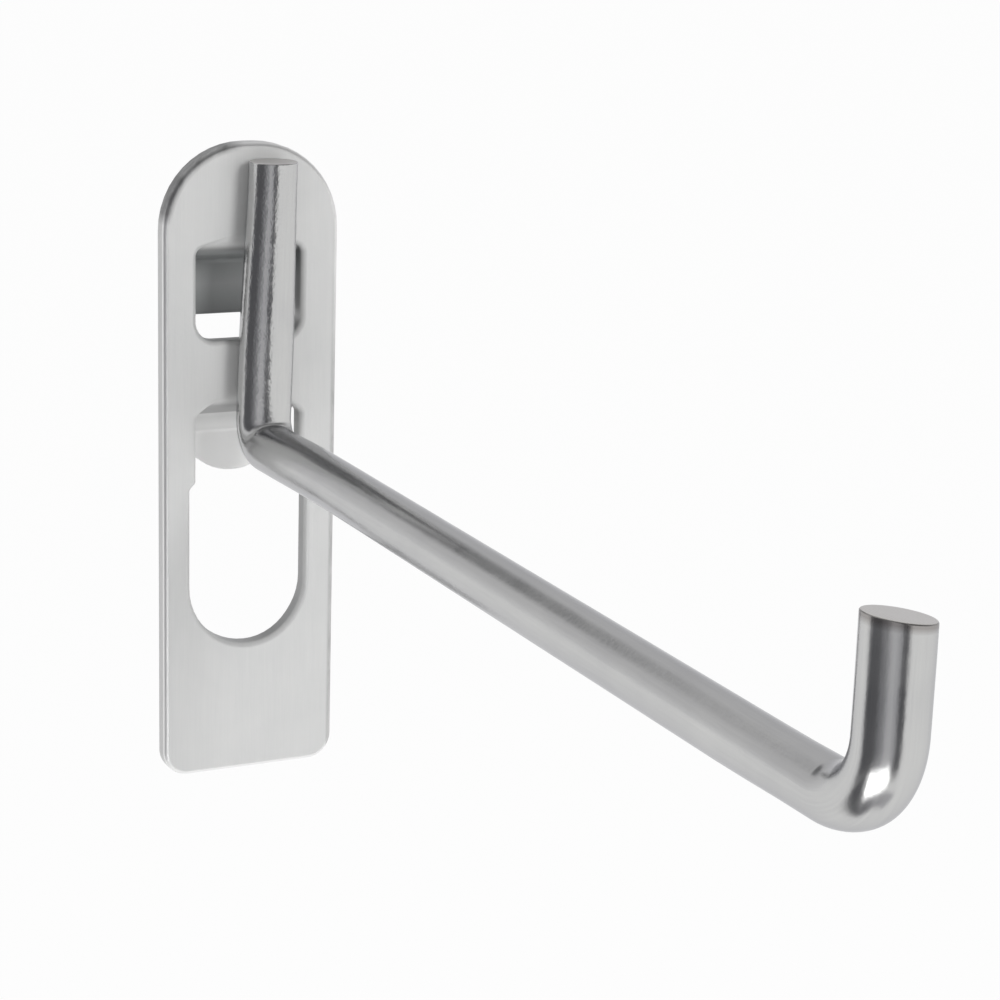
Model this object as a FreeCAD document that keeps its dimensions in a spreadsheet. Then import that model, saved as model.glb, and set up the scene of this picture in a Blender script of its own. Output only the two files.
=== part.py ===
import FreeCAD, Part
import math
import os
import Sketcher

# Pegboard hook, welded from two pieces: a pressed back plate with two lanced tongues and a bent round rod.
# Frame: +Z up, +Y into the panel, the arm runs out along -Y. All lengths are in millimetres.
# Heights in the sheet are counted from the plate's bottom edge. Each piece is then lowered by
# datum_height, so that the origin lies on the plate's back face, on the bridge between its two openings.

os.makedirs("parts", exist_ok=True)
doc = FreeCAD.newDocument("PegboardHook")
sheet = doc.addObject("Spreadsheet::Sheet", "Sizes")

# back plate
plate_width = 24.3
plate_height = 86.0
sheet_thickness = 2.5
top_flat = 1.5
corner_radius = 3.4
edge_roll = 0.75
datum_height = 56.5

# window, slot and wide opening
side_rail = 4.55
top_margin = 12.6
window_height = 13.4
window_crown_radius = 24.0
window_corner = 2.7
punch_corner = 1.2
bridge_height = 7.1
slot_arch_radius = 11.1
slot_length = 12.0
slot_step = 0.85
step_over_roll = 0.05
opening_straight = 13.7

# tongues
shear_gap = 0.15
panel_gap = 4.5
bend_radius = 0.9
upper_lead = 0.8
upper_drop = 5.1
upper_hang = 6.7
upper_end_radius = 1.0
lower_lead = 0.5
lower_drop = 7.4
round_end_climb = 2.0
round_end_flat = 0.15

# rod
rod_diameter = 6.35
rod_shift = 1.1
weld_sink = 0.2
leg_below_top = 2.1
arm_below_slot = 6.4
root_inside = 0.425
tip_inside = 4.425
reach = 149.4
tip_rise = 17.8
tip_lean_degrees = 1.1
tip_edge = 0.4
leg_edge = 0.3

written = []


def cell(alias, text, note):
    written.append(alias)
    row = str(len(written))
    sheet.set("A" + row, alias)
    sheet.set("B" + row, text)
    sheet.set("C" + row, note)
    sheet.setAlias("B" + row, alias)


def size(alias, value, note):
    cell(alias, str(value), note)


def derived(alias, formula, note):
    cell(alias, "=" + formula, note)


size("plate_width", plate_width, "plate across")
size("plate_height", plate_height, "plate from bottom edge to top")
size("sheet_thickness", sheet_thickness, "sheet the plate and its tongues are pressed from")
size("top_flat", top_flat, "short flat left between the plate's top shoulders")
size("corner_radius", corner_radius, "radius of the plate's bottom corners")
size("edge_roll", edge_roll, "rounding that the press leaves on every front edge")
size("datum_height", datum_height, "origin above the plate's bottom edge, on the bridge")
size("side_rail", side_rail, "sheet left on each side of the window and slot")
size("top_margin", top_margin, "plate's top to the window's crown")
size("window_height", window_height, "window from its bottom edge to its crown")
size("window_crown_radius", window_crown_radius, "radius of the window's crowned top edge")
size("window_corner", window_corner, "radius of the window's bottom corners")
size("punch_corner", punch_corner, "radius of the top corners of the window and of the slot")
size("bridge_height", bridge_height, "sheet left between the window and the slot")
size("slot_arch_radius", slot_arch_radius, "radius of the slot's arched top edge")
size("slot_length", slot_length, "slot's arch down to the step")
size("slot_step", slot_step, "how far the wide opening steps out on each side")
size("step_over_roll", step_over_roll, "how much rounder the step's turns are than the rolled edge")
size("opening_straight", opening_straight, "wide opening from the step down to its round bottom")
size("shear_gap", shear_gap, "gap left by the shear on each side of a tongue")
size("panel_gap", panel_gap, "room for the panel between the plate's back and a tongue")
size("bend_radius", bend_radius, "inside radius of the tongue bends")
size("upper_lead", upper_lead, "how far above the window the upper tongue starts to bend")
size("upper_drop", upper_drop, "height taken by the upper tongue's two bends")
size("upper_hang", upper_hang, "straight end of the upper tongue")
size("upper_end_radius", upper_end_radius, "corner radius of the upper tongue's end")
size("lower_lead", lower_lead, "how far above the slot the lower tongue starts to bend")
size("lower_drop", lower_drop, "height taken by the lower tongue's two bends")
size("round_end_climb", round_end_climb, "how far the lower tongue's round end climbs above its straight end")
size("round_end_flat", round_end_flat, "half of the flat left on the lower tongue's round end")
size("rod_diameter", rod_diameter, "round rod")
size("rod_shift", rod_shift, "rod's centre line, right of the plate's middle line")
size("weld_sink", weld_sink, "how far the weld presses the leg flat against the plate")
size("leg_below_top", leg_below_top, "plate's top down to the leg's end")
size("arm_below_slot", arm_below_slot, "slot's arch down to the arm's centre line")
size("root_inside", root_inside, "inside radius of the bend at the plate")
size("tip_inside", tip_inside, "inside radius of the bend at the tip")
size("reach", reach, "plate's back face to the tip's centre line at its end")
size("tip_rise", tip_rise, "arm's centre line up to the tip's end")
size("tip_lean", tip_lean_degrees, "degrees that the tip leans back to the plate")
size("tip_edge", tip_edge, "rounded edge of the tip's end face")
size("leg_edge", leg_edge, "rounded edge of the leg's end face")

# heights from the plate's bottom edge, and other sizes that follow from those above
derived("top_radius", "(plate_width - top_flat) / 2", "radius of the plate's top shoulders")
derived("window_width", "plate_width - 2 * side_rail", "window and slot across")
derived("tongue_width", "window_width - 2 * shear_gap", "tongues across")
derived("window_apex", "plate_height - top_margin", "middle of the window's crowned edge")
derived("window_bottom", "window_apex - window_height", "lower edge of the window")
derived("slot_apex", "window_bottom - bridge_height", "middle of the slot's arched edge")
derived("slot_step_height", "slot_apex - slot_length", "where the slot steps out to the wide opening")
derived("step_corner", "edge_roll + step_over_roll", "radius of the two turns in each step")
derived("opening_width", "window_width + 2 * slot_step", "wide opening across")
derived("opening_round", "slot_step_height - slot_step - opening_straight", "centre of the opening's round bottom")
derived("opening_bottom", "opening_round - opening_width / 2", "lowest point of the wide opening")
derived("upper_bend_start", "window_apex + upper_lead", "where the upper tongue leaves the plate")
derived("upper_bend_end", "upper_bend_start - upper_drop", "where the upper tongue hangs straight")
derived("upper_tongue_end", "upper_bend_end - upper_hang", "lower end of the upper tongue")
derived("lower_bend_start", "slot_apex + lower_lead", "where the lower tongue leaves the plate")
derived("lower_bend_end", "lower_bend_start - lower_drop", "where the lower tongue hangs straight")
derived("lower_end_radius", "tongue_width / 2 - round_end_flat", "radius of the lower tongue's round end")
derived("lower_hang", "lower_end_radius - round_end_climb", "straight end of the lower tongue")
derived("lower_tongue_end", "lower_bend_end - lower_hang", "lower end of the lower tongue")
derived("leg_top", "plate_height - leg_below_top", "upper end of the leg")
derived("arm_height", "slot_apex - arm_below_slot", "centre line of the arm")
derived("root_bend", "rod_diameter / 2 + root_inside", "centre line radius of the bend at the plate")
derived("tip_bend", "rod_diameter / 2 + tip_inside", "centre line radius of the bend at the tip")
derived("tip_end", "arm_height + tip_rise", "upper end of the tip")

doc.recompute()


def val(alias):
    return float(sheet.get(alias))


def bind(thing, prop, formula):
    thing.setExpression(prop, formula)


def new_body(name, label):
    body = doc.addObject("PartDesign::Body", name)
    body.Label = label
    return body


def new_sketch(body, name, plane):
    sketch = body.newObject("Sketcher::SketchObject", name)
    for item in body.Origin.OriginFeatures:
        if item.Role == plane:
            sketch.AttachmentSupport = [(item, "")]
    sketch.MapMode = "FlatFace"
    return sketch


def vec(x, y):
    return FreeCAD.Vector(x, y, 0.0)


def line(sketch, start, end):
    return sketch.addGeometry(Part.LineSegment(start, end), False)


def arc(sketch, start, middle, end):
    return sketch.addGeometry(Part.Arc(start, middle, end), False)


def rule(sketch, *terms):
    return sketch.addConstraint(Sketcher.Constraint(*terms))


def sized(sketch, formula, *terms):
    index = rule(sketch, *terms)
    bind(sketch, "Constraints[" + str(index) + "]", formula)
    return index


# the sketcher's own numbers for the ends and centre of a curve, and for the sketch's origin and axis
START, END, CENTRE = range(1, 4)
ORIGIN, Y_AXIS = range(-1, -3, -1)


def same(first, second):
    return abs(first - second) < 0.0001


def edge_names(shape, wanted):
    names = []
    for index, edge in enumerate(shape.Edges):
        if wanted(edge):
            names.append("Edge" + str(index + 1))
    return names


def corner_edges(shape, x_ok, z_ok):
    # straight edges along Y whose x and z both lie in the wanted ranges
    def wanted(edge):
        if edge.Curve.TypeId != "Part::GeomLine":
            return False
        first = edge.Vertexes[0].Point
        last = edge.Vertexes[-1].Point
        if not same(first.x, last.x) or not same(first.z, last.z):
            return False
        return x_ok(first.x) and z_ok(first.z)
    return edge_names(shape, wanted)


def front_edges(shape, depth):
    def wanted(edge):
        box = edge.BoundBox
        return same(box.YMin, -depth) and same(box.YMax, -depth)
    return edge_names(shape, wanted)


def round_edges(body, name, base, names, formula):
    fillet = body.newObject("PartDesign::Fillet", name)
    fillet.Base = (base, names)
    bind(fillet, "Radius", formula)
    doc.recompute()
    return fillet


def both_sides(feature):
    # the feature runs to both sides of its sketch
    if "SideType" in feature.PropertiesList:
        feature.SideType = "Symmetric"
    else:
        feature.Midplane = True


# the plate: outline, holes and rolled edges
plate = new_body("BackPlate", "back_plate")

width = val("plate_width")
height = val("plate_height")
thick = val("sheet_thickness")

outline = new_sketch(plate, "PlateOutline", "XZ_Plane")
half = width / 2.0
bottom_line = line(outline, vec(-half, 0.0), vec(half, 0.0))
right_line = line(outline, vec(half, 0.0), vec(half, height))
top_line = line(outline, vec(half, height), vec(-half, height))
left_line = line(outline, vec(-half, height), vec(-half, 0.0))
rule(outline, "Coincident", bottom_line, END, right_line, START)
rule(outline, "Coincident", right_line, END, top_line, START)
rule(outline, "Coincident", top_line, END, left_line, START)
rule(outline, "Coincident", left_line, END, bottom_line, START)
rule(outline, "Horizontal", top_line)
rule(outline, "Horizontal", bottom_line)
rule(outline, "Vertical", right_line)
rule(outline, "Vertical", left_line)
rule(outline, "Symmetric", bottom_line, START, bottom_line, END, ORIGIN, START)
sized(outline, "Sizes.plate_width", "DistanceX", bottom_line, START, bottom_line, END, width)
sized(outline, "Sizes.plate_height", "DistanceY", right_line, START, right_line, END, height)

blank = plate.newObject("PartDesign::Pad", "PlateBlank")
blank.Profile = outline
bind(blank, "Length", "Sizes.sheet_thickness")
doc.recompute()

low_corners = corner_edges(blank.Shape, lambda x: True, lambda z: same(z, 0.0))
feet = round_edges(plate, "BottomCorners", blank, low_corners, "Sizes.corner_radius")
high_corners = corner_edges(feet.Shape, lambda x: True, lambda z: same(z, height))
shoulders = round_edges(plate, "TopShoulders", feet, high_corners, "Sizes.top_radius")

# upper window: straight sides, square bottom and a slightly crowned top edge
window_half = val("window_width") / 2.0
window_low = val("window_bottom")
crown = val("window_crown_radius")
crown_centre = val("window_apex") - crown
window_side = crown_centre + (crown ** 2 - window_half ** 2) ** 0.5

window = new_sketch(plate, "WindowOutline", "XZ_Plane")
w_low = line(window, vec(-window_half, window_low), vec(window_half, window_low))
w_right = line(window, vec(window_half, window_low), vec(window_half, window_side))
w_top = arc(window, vec(window_half, window_side), vec(0.0, val("window_apex")), vec(-window_half, window_side))
w_left = line(window, vec(-window_half, window_side), vec(-window_half, window_low))
rule(window, "Coincident", w_low, END, w_right, START)
rule(window, "Coincident", w_right, END, w_top, START)
rule(window, "Coincident", w_top, END, w_left, START)
rule(window, "Coincident", w_left, END, w_low, START)
rule(window, "Vertical", w_right)
rule(window, "Vertical", w_left)
rule(window, "PointOnObject", w_top, CENTRE, Y_AXIS)
rule(window, "Symmetric", w_low, START, w_low, END, Y_AXIS)
sized(window, "Sizes.window_width", "DistanceX", w_low, START, w_low, END, 2.0 * window_half)
sized(window, "Sizes.window_bottom", "DistanceY", ORIGIN, START, w_low, START, window_low)
sized(window, "Sizes.window_crown_radius", "Radius", w_top, crown)
sized(window, "Sizes.window_apex - Sizes.window_crown_radius", "DistanceY", ORIGIN, START, w_top, CENTRE,
      crown_centre)

window_cut = plate.newObject("PartDesign::Pocket", "Window")
window_cut.Profile = window
both_sides(window_cut)
bind(window_cut, "Length", "4 * Sizes.sheet_thickness")
doc.recompute()

# lower slot with an arched top, stepping out to the wide opening with a round bottom
arch = val("slot_arch_radius")
slot_half = window_half
wide_half = slot_half + val("slot_step")
arch_centre = val("slot_apex") - arch
arch_side = arch_centre + (arch ** 2 - slot_half ** 2) ** 0.5
step_high = val("slot_step_height")
step_low = step_high - val("slot_step")
round_centre = val("opening_bottom") + wide_half

slot = new_sketch(plate, "SlotOutline", "XZ_Plane")
s_top = arc(slot, vec(slot_half, arch_side), vec(0.0, val("slot_apex")), vec(-slot_half, arch_side))
s_left = line(slot, vec(-slot_half, arch_side), vec(-slot_half, step_high))
s_left_step = line(slot, vec(-slot_half, step_high), vec(-wide_half, step_low))
s_left_wide = line(slot, vec(-wide_half, step_low), vec(-wide_half, round_centre))
s_round = arc(slot, vec(-wide_half, round_centre), vec(0.0, val("opening_bottom")), vec(wide_half, round_centre))
s_right_wide = line(slot, vec(wide_half, round_centre), vec(wide_half, step_low))
s_right_step = line(slot, vec(wide_half, step_low), vec(slot_half, step_high))
s_right = line(slot, vec(slot_half, step_high), vec(slot_half, arch_side))
rule(slot, "Coincident", s_top, END, s_left, START)
rule(slot, "Coincident", s_left, END, s_left_step, START)
rule(slot, "Coincident", s_left_step, END, s_left_wide, START)
rule(slot, "Tangent", s_left_wide, END, s_round, START)
rule(slot, "Tangent", s_round, END, s_right_wide, START)
rule(slot, "Coincident", s_right_wide, END, s_right_step, START)
rule(slot, "Coincident", s_right_step, END, s_right, START)
rule(slot, "Coincident", s_right, END, s_top, START)
rule(slot, "Vertical", s_left)
rule(slot, "Vertical", s_right)
rule(slot, "Vertical", s_left_wide)
rule(slot, "Vertical", s_right_wide)
rule(slot, "PointOnObject", s_top, CENTRE, Y_AXIS)
rule(slot, "Symmetric", s_left, END, s_right, START, Y_AXIS)
rule(slot, "Symmetric", s_left_wide, START, s_right_wide, END, Y_AXIS)
sized(slot, "Sizes.window_width", "DistanceX", s_left, END, s_right, START, 2.0 * slot_half)
sized(slot, "Sizes.window_width + 2 * Sizes.slot_step", "DistanceX", s_left_wide, START, s_right_wide, END,
      2.0 * wide_half)
sized(slot, "Sizes.slot_step_height", "DistanceY", ORIGIN, START, s_left, END, step_high)
sized(slot, "Sizes.slot_step_height - Sizes.slot_step", "DistanceY", ORIGIN, START, s_left_wide, START, step_low)
sized(slot, "Sizes.slot_arch_radius", "Radius", s_top, arch)
sized(slot, "Sizes.slot_apex - Sizes.slot_arch_radius", "DistanceY", ORIGIN, START, s_top, CENTRE, arch_centre)
sized(slot, "Sizes.opening_bottom + Sizes.window_width / 2 + Sizes.slot_step", "DistanceY", ORIGIN, START,
      s_round, CENTRE, round_centre)

slot_cut = plate.newObject("PartDesign::Pocket", "SlotAndOpening")
slot_cut.Profile = slot
both_sides(slot_cut)
bind(slot_cut, "Length", "4 * Sizes.sheet_thickness")
doc.recompute()

window_feet = corner_edges(slot_cut.Shape, lambda x: same(abs(x), window_half),
                           lambda z: same(z, window_low))
window_round = round_edges(plate, "WindowCorners", slot_cut, window_feet, "Sizes.window_corner")
tops = corner_edges(window_round.Shape, lambda x: same(abs(x), window_half),
                    lambda z: same(z, window_side) or same(z, arch_side))
tops_round = round_edges(plate, "PunchCorners", window_round, tops, "Sizes.punch_corner")
steps = corner_edges(tops_round.Shape, lambda x: same(abs(x), window_half) or same(abs(x), wide_half),
                     lambda z: same(z, step_low) or same(z, step_high))
steps_round = round_edges(plate, "StepCorners", tops_round, steps, "Sizes.step_corner")

rolled_names = front_edges(steps_round.Shape, thick)
rolled = round_edges(plate, "RolledFrontEdges", steps_round, rolled_names, "Sizes.edge_roll")


def slope_angle(set_back, drop, radius):
    # slope of a strip that moves over by set_back within drop, with the same bend radius at both ends
    straight = math.sqrt(drop ** 2 + set_back ** 2 - 4.0 * radius * set_back)
    return 2.0 * math.atan2(set_back, drop + straight)


def add_tongue(key, label):
    # a flat strip swept down the plate, back through two bends, and down behind the panel
    start = val(key + "_bend_start")
    finish = val(key + "_bend_end")
    low = val(key + "_tongue_end")
    high = start + thick
    gap = val("panel_gap")
    radius = val("bend_radius") + thick / 2.0
    slope = slope_angle(gap + thick, start - finish, radius)
    near = -thick / 2.0
    far = gap + thick / 2.0
    back_centre = near + radius
    down_centre = far - radius

    path = new_sketch(plate, label + "Path", "YZ_Plane")
    back_end = vec(back_centre - radius * math.cos(slope), start - radius * math.sin(slope))
    back_middle = vec(back_centre - radius * math.cos(slope / 2), start - radius * math.sin(slope / 2))
    down_start = vec(down_centre + radius * math.cos(slope), finish + radius * math.sin(slope))
    down_middle = vec(down_centre + radius * math.cos(slope / 2), finish + radius * math.sin(slope / 2))
    root = line(path, vec(near, high), vec(near, start))
    back = arc(path, vec(near, start), back_middle, back_end)
    ramp = line(path, back_end, down_start)
    down = arc(path, vec(far, finish), down_middle, down_start)
    hang = line(path, vec(far, finish), vec(far, low))
    rule(path, "Tangent", root, END, back, START)
    rule(path, "Tangent", back, END, ramp, START)
    rule(path, "Tangent", ramp, END, down, END)
    rule(path, "Tangent", down, START, hang, START)
    rule(path, "Vertical", root)
    rule(path, "Vertical", hang)
    bend = "Sizes.bend_radius + Sizes.sheet_thickness / 2"
    sized(path, bend, "Radius", back, radius)
    sized(path, bend, "Radius", down, radius)
    sized(path, "Sizes.sheet_thickness / 2", "DistanceX", root, START, ORIGIN, START, -near)
    sized(path, "Sizes.panel_gap + Sizes.sheet_thickness / 2", "DistanceX", ORIGIN, START, hang, END, far)
    sized(path, "Sizes." + key + "_bend_start + Sizes.sheet_thickness", "DistanceY", ORIGIN, START,
          root, START, high)
    sized(path, "Sizes." + key + "_bend_start", "DistanceY", ORIGIN, START, root, END, start)
    sized(path, "Sizes." + key + "_bend_end", "DistanceY", ORIGIN, START, hang, START, finish)
    sized(path, "Sizes." + key + "_tongue_end", "DistanceY", ORIGIN, START, hang, END, low)

    across = new_sketch(plate, label + "Section", "XY_Plane")
    bind(across, ".AttachmentOffset.Base.z", "Sizes." + key + "_bend_start + Sizes.sheet_thickness")
    side = val("tongue_width") / 2.0
    front = line(across, vec(-side, -thick), vec(side, -thick))
    right = line(across, vec(side, -thick), vec(side, 0.0))
    rear = line(across, vec(side, 0.0), vec(-side, 0.0))
    left = line(across, vec(-side, 0.0), vec(-side, -thick))
    rule(across, "Coincident", front, END, right, START)
    rule(across, "Coincident", right, END, rear, START)
    rule(across, "Coincident", rear, END, left, START)
    rule(across, "Coincident", left, END, front, START)
    rule(across, "Horizontal", front)
    rule(across, "Horizontal", rear)
    rule(across, "Vertical", right)
    rule(across, "Vertical", left)
    rule(across, "Symmetric", rear, START, rear, END, ORIGIN, START)
    sized(across, "Sizes.tongue_width", "DistanceX", front, START, front, END, 2.0 * side)
    sized(across, "Sizes.sheet_thickness", "DistanceY", right, START, right, END, thick)
    doc.recompute()

    strip = plate.newObject("PartDesign::AdditivePipe", label)
    strip.Profile = across
    strip.Spine = path
    doc.recompute()

    ends = corner_edges(strip.Shape, lambda x: same(abs(x), side), lambda z: same(z, low))
    return round_edges(plate, label + "End", strip, ends, "Sizes." + key + "_end_radius")


add_tongue("upper", "UpperTongue")
add_tongue("lower", "LowerTongue")

# hook rod: leg down the plate, bend, arm outwards, bend, tip upwards
rod = new_body("HookRod", "hook_rod")
rod_radius = val("rod_diameter") / 2.0
leg_out = thick + rod_radius - weld_sink
leg_top = val("leg_top")
arm = val("arm_height")
root_bend = val("root_bend")
tip_bend = val("tip_bend")
tip_end = val("tip_end")
lean = math.radians(val("tip_lean"))
tip_start_z = arm + tip_bend + tip_bend * math.sin(lean)
tip_straight = (tip_end - tip_start_z) / math.cos(lean)
tip_start_y = -reach - tip_straight * math.sin(lean)
tip_centre_y = tip_start_y + tip_bend * math.cos(lean)
tip_centre_z = arm + tip_bend
half_turn = math.radians(225.0) - lean / 2.0
tip_middle = vec(tip_centre_y + tip_bend * math.cos(half_turn), tip_centre_z + tip_bend * math.sin(half_turn))
root_half = root_bend * math.sqrt(0.5)
root_middle = vec(-leg_out - root_bend + root_half, arm + root_bend - root_half)

rod_path = new_sketch(rod, "RodPath", "YZ_Plane")
leg = line(rod_path, vec(-leg_out, leg_top), vec(-leg_out, arm + root_bend))
elbow = arc(rod_path, vec(-leg_out - root_bend, arm), root_middle, vec(-leg_out, arm + root_bend))
arm_line = line(rod_path, vec(-leg_out - root_bend, arm), vec(tip_centre_y, arm))
turn = arc(rod_path, vec(tip_start_y, tip_start_z), tip_middle, vec(tip_centre_y, arm))
tip = line(rod_path, vec(tip_start_y, tip_start_z), vec(-reach, tip_end))
rule(rod_path, "Tangent", leg, END, elbow, END)
rule(rod_path, "Tangent", arm_line, START, elbow, START)
rule(rod_path, "Tangent", arm_line, END, turn, END)
rule(rod_path, "Tangent", tip, START, turn, START)
rule(rod_path, "Vertical", leg)
rule(rod_path, "Horizontal", arm_line)
leg_rule = "Sizes.sheet_thickness + Sizes.rod_diameter / 2 - Sizes.weld_sink"
sized(rod_path, leg_rule, "DistanceX", leg, START, ORIGIN, START, leg_out)
sized(rod_path, "Sizes.leg_top", "DistanceY", ORIGIN, START, leg, START, leg_top)
sized(rod_path, "Sizes.arm_height", "DistanceY", ORIGIN, START, arm_line, START, arm)
sized(rod_path, "Sizes.root_bend", "Radius", elbow, root_bend)
sized(rod_path, "Sizes.tip_bend", "Radius", turn, tip_bend)
sized(rod_path, "Sizes.reach", "DistanceX", tip, END, ORIGIN, START, reach)
sized(rod_path, "Sizes.tip_end", "DistanceY", ORIGIN, START, tip, END, tip_end)
sized(rod_path, "(90 - Sizes.tip_lean) * 1 deg", "Angle", tip, math.radians(90.0) - lean)

rod_section = new_sketch(rod, "RodSection", "XY_Plane")
bind(rod_section, ".AttachmentOffset.Base.z", "Sizes.leg_top")
ring = rod_section.addGeometry(Part.Circle(vec(0.0, -leg_out), FreeCAD.Vector(0, 0, 1), rod_radius), False)
rule(rod_section, "PointOnObject", ring, CENTRE, Y_AXIS)
sized(rod_section, leg_rule, "DistanceY", ring, CENTRE, ORIGIN, START, leg_out)
sized(rod_section, "Sizes.rod_diameter", "Diameter", ring, 2.0 * rod_radius)
doc.recompute()

bar = rod.newObject("PartDesign::AdditivePipe", "BentRod")
bar.Profile = rod_section
bar.Spine = rod_path
doc.recompute()

# the weld presses the back of the leg flat against the plate
seat = new_sketch(rod, "WeldSeat", "YZ_Plane")
seat_low = arm - rod_radius
seat_high = leg_top + rod_radius
seat_deep = rod_radius
seat_front = line(seat, vec(-thick, seat_low), vec(-thick, seat_high))
seat_top = line(seat, vec(-thick, seat_high), vec(-thick + seat_deep, seat_high))
seat_back = line(seat, vec(-thick + seat_deep, seat_high), vec(-thick + seat_deep, seat_low))
seat_foot = line(seat, vec(-thick + seat_deep, seat_low), vec(-thick, seat_low))
rule(seat, "Coincident", seat_front, END, seat_top, START)
rule(seat, "Coincident", seat_top, END, seat_back, START)
rule(seat, "Coincident", seat_back, END, seat_foot, START)
rule(seat, "Coincident", seat_foot, END, seat_front, START)
rule(seat, "Vertical", seat_front)
rule(seat, "Vertical", seat_back)
rule(seat, "Horizontal", seat_top)
rule(seat, "Horizontal", seat_foot)
sized(seat, "Sizes.sheet_thickness", "DistanceX", seat_front, START, ORIGIN, START, thick)
sized(seat, "Sizes.rod_diameter / 2", "DistanceX", seat_top, START, seat_top, END, seat_deep)
sized(seat, "Sizes.arm_height - Sizes.rod_diameter / 2", "DistanceY", ORIGIN, START, seat_front, START, seat_low)
sized(seat, "Sizes.leg_top + Sizes.rod_diameter / 2", "DistanceY", ORIGIN, START, seat_front, END, seat_high)
flat = rod.newObject("PartDesign::Pocket", "WeldFlat")
flat.Profile = seat
both_sides(flat)
bind(flat, "Length", "2 * Sizes.rod_diameter")
doc.recompute()

tip_rim = edge_names(flat.Shape, lambda edge: edge.BoundBox.ZMin > tip_end - rod_radius
                     and edge.BoundBox.YMax < -reach + 2.0 * rod_radius
                     and edge.Length < 7.0 * rod_radius and edge.BoundBox.ZLength < rod_radius)
tip_round = round_edges(rod, "TipRim", flat, tip_rim, "Sizes.tip_edge")
leg_rim = edge_names(tip_round.Shape, lambda edge: same(edge.BoundBox.ZMin, leg_top))
round_edges(rod, "LegRim", tip_round, leg_rim, "Sizes.leg_edge")

# both pieces stand in the one frame
bind(plate, ".Placement.Base.z", "-Sizes.datum_height")
bind(rod, ".Placement.Base.x", "Sizes.rod_shift")
bind(rod, ".Placement.Base.z", "-Sizes.datum_height")
doc.recompute()

for item in doc.Objects:
    for word in ("Invalid", "Error"):
        if word in item.State:
            raise RuntimeError(item.Name + " is " + word)
for sketch in doc.findObjects("Sketcher::SketchObject"):
    if sketch.solve() != 0:
        raise RuntimeError(sketch.Name + " does not solve")

for body in (plate, rod):
    shape = body.Shape
    if shape.isNull() or not shape.isValid() or len(shape.Solids) != 1:
        raise RuntimeError(body.Label + " is not one valid solid")
    shape.exportStep("parts/" + body.Label + ".step")
    print(body.Label, shape.BoundBox, round(shape.Volume, 1))
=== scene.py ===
import math

import bmesh
import bpy
from mathutils import Matrix, Vector


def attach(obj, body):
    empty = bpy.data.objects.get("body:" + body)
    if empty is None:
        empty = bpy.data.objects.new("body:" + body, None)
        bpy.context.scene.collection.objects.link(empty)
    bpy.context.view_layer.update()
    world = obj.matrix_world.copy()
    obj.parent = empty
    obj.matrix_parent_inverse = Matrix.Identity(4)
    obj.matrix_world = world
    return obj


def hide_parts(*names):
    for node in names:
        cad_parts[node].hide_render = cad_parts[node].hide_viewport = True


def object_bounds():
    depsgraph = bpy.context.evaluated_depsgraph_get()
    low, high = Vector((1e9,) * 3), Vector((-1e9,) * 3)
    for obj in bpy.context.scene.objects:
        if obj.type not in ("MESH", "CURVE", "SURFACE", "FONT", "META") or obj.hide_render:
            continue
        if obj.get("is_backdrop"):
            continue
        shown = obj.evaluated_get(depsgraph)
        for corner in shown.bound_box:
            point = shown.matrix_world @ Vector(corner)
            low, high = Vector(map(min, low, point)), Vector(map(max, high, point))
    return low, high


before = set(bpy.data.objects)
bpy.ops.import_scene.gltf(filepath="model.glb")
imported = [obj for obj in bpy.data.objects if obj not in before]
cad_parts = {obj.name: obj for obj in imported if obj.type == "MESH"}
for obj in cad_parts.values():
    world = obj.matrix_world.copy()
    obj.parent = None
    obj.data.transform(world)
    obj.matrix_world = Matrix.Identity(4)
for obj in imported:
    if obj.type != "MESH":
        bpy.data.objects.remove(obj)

size = {"frame": [list(corner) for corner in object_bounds()]}

MM = 0.001
QUARTER = math.pi / 2

# Sizes in millimetres. The origin lies on the plate's back face, on the bridge between window and slot.
# Corners, crowns, rolls and bends are given by their radii.

# The plate's sheet and outline
sheet = 2.5
half_width = 12.15
plate_top = 29.5
plate_foot = -56.5
foot_corner = 3.4
half_top_flat = 0.75
top_radius = half_width - half_top_flat
front_roll = 0.75
back_break = 0.12

# The window, and the slot with its shoulders and its wider round foot
opening_half = 7.6
punch_corner = 1.2
window_top = 16.9
window_foot = 3.5
window_crown = 24.0
window_corner = 2.7
slot_top = -3.6
slot_crown = 11.1
shoulder_z = -16.025
shoulder_reach = 0.756
shoulder_roll = 0.8
round_foot = 8.45
round_foot_z = -30.15

# The openings and their tongues are a little narrower on their right
right_inset = 0.6
full_inset_x = 7.0
inset_reach_x = 9.4
inset_foot = -40.0
inset_top = 18.0

# The tongues. Each leaves the plate above its opening's top edge, drops while it slopes back, and hangs.
shear_gap = 0.15
tongue_half = opening_half - shear_gap
bend_radius = 0.9
bend_middle = bend_radius + sheet / 2
panel_gap = 4.5
set_back = panel_gap + sheet
tongue_edge = 0.22
upper_lead, upper_drop, upper_hang, upper_end = 0.8, 5.1, 6.7, 1.0
lower_lead, lower_drop, lower_hang, lower_end = 0.5, 7.4, 5.3, 7.3

# The rod
rod_radius = 3.175
rod_x = 1.1
weld_sink = 0.2
leg_top = 27.4
leg_y = weld_sink - sheet - rod_radius
arm_z = -10.0
root_bend = 3.6
root_y = leg_y - root_bend
root_z = arm_z + root_bend
tip_bend = 7.6
tip_y = -141.994
tip_z = arm_z + tip_bend
tip_turn = math.radians(91.1)
tip_straight = 10.056
end_rim = 0.2

# How finely curves are divided, and the angle from which an edge is sharp
fine_turn = math.radians(7.5)
least_steps = 3
wide_arc = 15.0
wide_arc_steps = 14
sharp_from = math.radians(50)


def point(x, y, z):
    return Vector((x, y, z)) * MM


def verts_among(parts):
    return [part for part in parts if isinstance(part, bmesh.types.BMVert)]


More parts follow.
